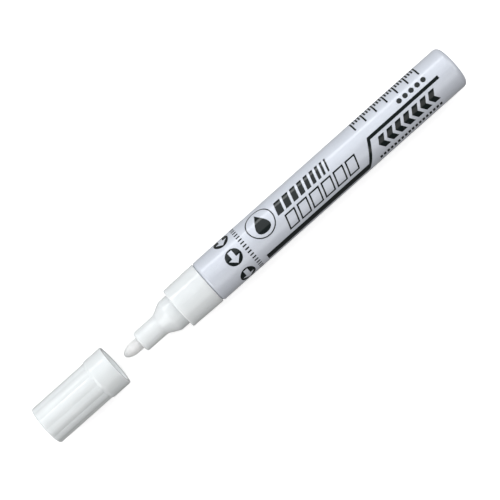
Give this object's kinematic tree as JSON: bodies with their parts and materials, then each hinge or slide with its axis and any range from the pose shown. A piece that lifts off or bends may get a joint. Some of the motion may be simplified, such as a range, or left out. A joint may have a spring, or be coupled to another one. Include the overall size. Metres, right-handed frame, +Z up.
{
  "type": "paint marker",
  "caption": "Valve-action paint marker with a lacquered metal barrel, white nose and bullet nib, lying beside its fluted push-on cap, which is taken off.",
  "frame": {"origin": "on the surface that the barrel lies on, under the middle of the whole length from the cap's closed end to the barrel's rear end", "axes": "+X along the marker from the nib to the barrel's rear end, +Z up, +Y to the left when looking from the nib to the rear"},
  "size_m": [0.1634, 0.0144, 0.0145],
  "materials": {
    "barrel_lacquer": "satin silver lacquer on drawn aluminium",
    "section_plastic": "cool white moulded plastic, semi-gloss",
    "cap_plastic": "cool white moulded plastic, semi-gloss",
    "liner_plastic": "natural soft plastic",
    "nib_felt": "pressed polyester felt, off-white",
    "valve_plastic": "natural acetal",
    "seal_rubber": "black nitrile rubber",
    "spring_steel": "drawn stainless wire",
    "ball_steel": "polished steel ball"
  },
  "bodies": {
    "marker": {"barrel": "barrel_lacquer", "front_section": "section_plastic", "barrel_gasket": "seal_rubber", "valve_seat": "valve_plastic", "spring_retainer": "valve_plastic", "valve_spring": "spring_steel"},
    "nib": {"nib": "nib_felt"},
    "valve": {"valve_stem": "valve_plastic", "stem_seal": "seal_rubber"},
    "ball": {"mixing_ball": "ball_steel"},
    "cap": {"cap": "cap_plastic", "cap_liner": "liner_plastic"}
  },
  "joints": [
    {"name": "cap_pull", "type": "slide", "parent": "marker", "child": "cap", "axis": [1, 0, 0], "range_m": [0, 0.02535]},
    {"name": "nib_press", "type": "slide", "parent": "marker", "child": "nib", "axis": [1, 0, 0], "range_m": [0, 0.0018], "stiffness_N_per_m": 400, "springref_m": -0.002, "deforming": ["valve_spring"]},
    {"name": "valve_lift", "type": "slide", "parent": "marker", "child": "valve", "axis": [1, 0, 0], "range_m": [0, 0.0018]},
    {"name": "ball_run", "type": "slide", "parent": "marker", "child": "ball", "axis": [1, 0, 0], "range_m": [-0.06512, 0.0143]}
  ],
  "couplings": [
    {"joint": "valve_lift", "follows": "nib_press", "ratio": 1}
  ]
}
